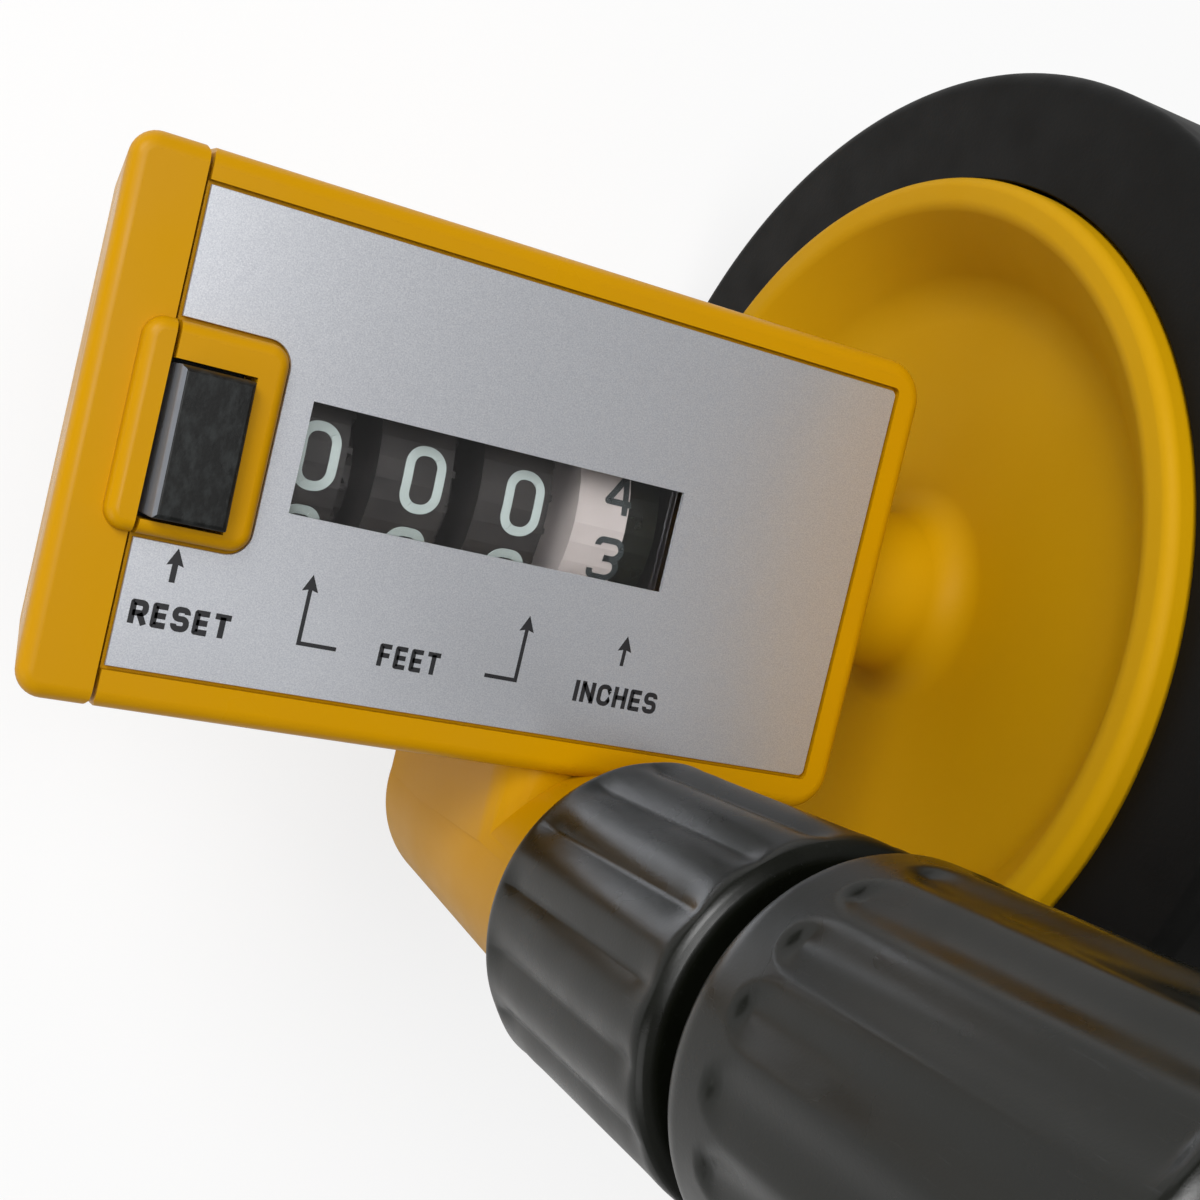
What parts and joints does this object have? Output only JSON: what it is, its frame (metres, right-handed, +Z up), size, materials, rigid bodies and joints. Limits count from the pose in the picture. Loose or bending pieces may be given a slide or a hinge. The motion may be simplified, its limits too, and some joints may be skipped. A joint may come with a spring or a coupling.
{
  "type": "measuring wheel",
  "caption": "Hand-held measuring wheel with a geared drum counter, a push-button reset and a telescopic handle.",
  "frame": {"origin": "on the ground below the middle of the whole instrument's box, with the handle pushed in", "axes": "+Z up along the handle and out of the counter's face, +X along the axle from the case to the wheel, +Y forward, away from the person who reads the counter"},
  "size_m": [0.0945, 0.097, 0.4625],
  "materials": {
    "yellow_abs": "moulded, satin gloss",
    "silver_label": "printed foil, fine satin grain",
    "clear_lens": "clear moulded window",
    "button_plastic": "moulded black, handled",
    "drum_black": "moulded black",
    "drum_white": "moulded off-white",
    "acetal": "natural acetal",
    "steel": "bright zinc plated",
    "bronze": "sintered bronze",
    "tyre_rubber": "moulded rubber",
    "tube_black": "black anodised tube",
    "collar_plastic": "moulded black, semi-gloss",
    "grip_rubber": "soft black rubber"
  },
  "bodies": {
    "housing": {"housing_shell": "yellow_abs", "end_cap": "yellow_abs", "face_label": "silver_label", "window_lens": "clear_lens", "frame_plate_left": "steel", "frame_plate_right": "steel", "frame_screw_left": "steel", "frame_screw_right": "steel", "cap_screw": "steel", "pinion_shaft": "steel", "rocker_rod": "steel", "axle_bush": "bronze", "inner_tube": "tube_black", "socket_pin": "steel", "inner_guide_bush": "acetal"},
    "wheel": {"axle": "steel", "axle_clip": "steel", "clutch_disc": "drum_black", "spacer_sleeve": "steel", "wheel_disc": "yellow_abs", "tyre": "tyre_rubber", "hub_washer": "steel", "hub_nut": "steel"},
    "inch_drum": {"inch_drum": "drum_white"},
    "feet_ones": {"feet_ones_drum": "drum_black"},
    "feet_tens": {"feet_tens_drum": "drum_black"},
    "feet_hundreds": {"feet_hundreds_drum": "drum_black"},
    "pinion_1": {"pinion_ones": "acetal"},
    "pinion_2": {"pinion_tens": "acetal"},
    "pinion_3": {"pinion_hundreds": "acetal"},
    "button": {"reset_button": "button_plastic", "reset_spring": "steel"},
    "rocker": {"reset_rocker": "acetal"},
    "middle_section": {"middle_tube": "tube_black", "middle_guide_bush": "acetal", "lower_collet": "acetal"},
    "lower_collar": {"lower_collar": "collar_plastic"},
    "grip_section": {"outer_tube": "tube_black", "upper_collet": "acetal", "grip": "grip_rubber", "grip_plug": "collar_plastic"},
    "upper_collar": {"upper_collar": "collar_plastic"}
  },
  "joints": [
    {"name": "wheel_spin", "type": "hinge", "parent": "housing", "child": "wheel", "pos_m": [0, 0, 0.04851], "axis": [1, 0, 0], "continuous": true},
    {"name": "inch_drum_spin", "type": "hinge", "parent": "housing", "child": "inch_drum", "pos_m": [0, 0, 0.04851], "axis": [1, 0, 0], "continuous": true},
    {"name": "feet_ones_spin", "type": "hinge", "parent": "housing", "child": "feet_ones", "pos_m": [0, 0, 0.04851], "axis": [1, 0, 0], "continuous": true},
    {"name": "feet_tens_spin", "type": "hinge", "parent": "housing", "child": "feet_tens", "pos_m": [0, 0, 0.04851], "axis": [1, 0, 0], "continuous": true},
    {"name": "feet_hundreds_spin", "type": "hinge", "parent": "housing", "child": "feet_hundreds", "pos_m": [0, 0, 0.04851], "axis": [1, 0, 0], "continuous": true},
    {"name": "pinion_ones_spin", "type": "hinge", "parent": "housing", "child": "pinion_1", "pos_m": [0, -0.0112, 0.04851], "axis": [1, 0, 0], "continuous": true},
    {"name": "pinion_tens_spin", "type": "hinge", "parent": "housing", "child": "pinion_2", "pos_m": [0, -0.0112, 0.04851], "axis": [1, 0, 0], "continuous": true},
    {"name": "pinion_hundreds_spin", "type": "hinge", "parent": "housing", "child": "pinion_3", "pos_m": [0, -0.0112, 0.04851], "axis": [1, 0, 0], "continuous": true},
    {"name": "reset_press", "type": "slide", "parent": "housing", "child": "button", "axis": [0, 0, -1], "range_m": [0, 0.003], "stiffness_N_per_m": 300, "springref_m": -0.004, "deforming": ["reset_spring"]},
    {"name": "reset_rock", "type": "hinge", "parent": "housing", "child": "rocker", "pos_m": [0, 0.0148, 0.04151], "axis": [1, 0, 0], "range_deg": [0, 12]},
    {"name": "lower_slide", "type": "slide", "parent": "housing", "child": "middle_section", "axis": [0, 0, 1], "range_m": [0, 0.262]},
    {"name": "upper_slide", "type": "slide", "parent": "middle_section", "child": "grip_section", "axis": [0, 0, 1], "range_m": [0, 0.262]},
    {"name": "lower_collar_twist", "type": "hinge", "parent": "middle_section", "child": "lower_collar", "pos_m": [0.00131, -0.02907, 0.06101], "axis": [0, 0, 1], "range_deg": [0, 90]},
    {"name": "upper_collar_twist", "type": "hinge", "parent": "grip_section", "child": "upper_collar", "pos_m": [0.00131, -0.02907, 0.06101], "axis": [0, 0, 1], "range_deg": [0, 90]}
  ],
  "couplings": [
    {"joint": "inch_drum_spin", "follows": "wheel_spin", "ratio": 1},
    {"joint": "feet_ones_spin", "follows": "wheel_spin", "ratio": 0.1},
    {"joint": "feet_tens_spin", "follows": "wheel_spin", "ratio": 0.01},
    {"joint": "feet_hundreds_spin", "follows": "wheel_spin", "ratio": 0.001},
    {"joint": "pinion_ones_spin", "follows": "wheel_spin", "ratio": -0.25},
    {"joint": "pinion_tens_spin", "follows": "wheel_spin", "ratio": -0.025},
    {"joint": "pinion_hundreds_spin", "follows": "wheel_spin", "ratio": -0.0025},
    {"joint": "reset_rock", "follows": "reset_press", "rad_per_m": 64.31}
  ]
}
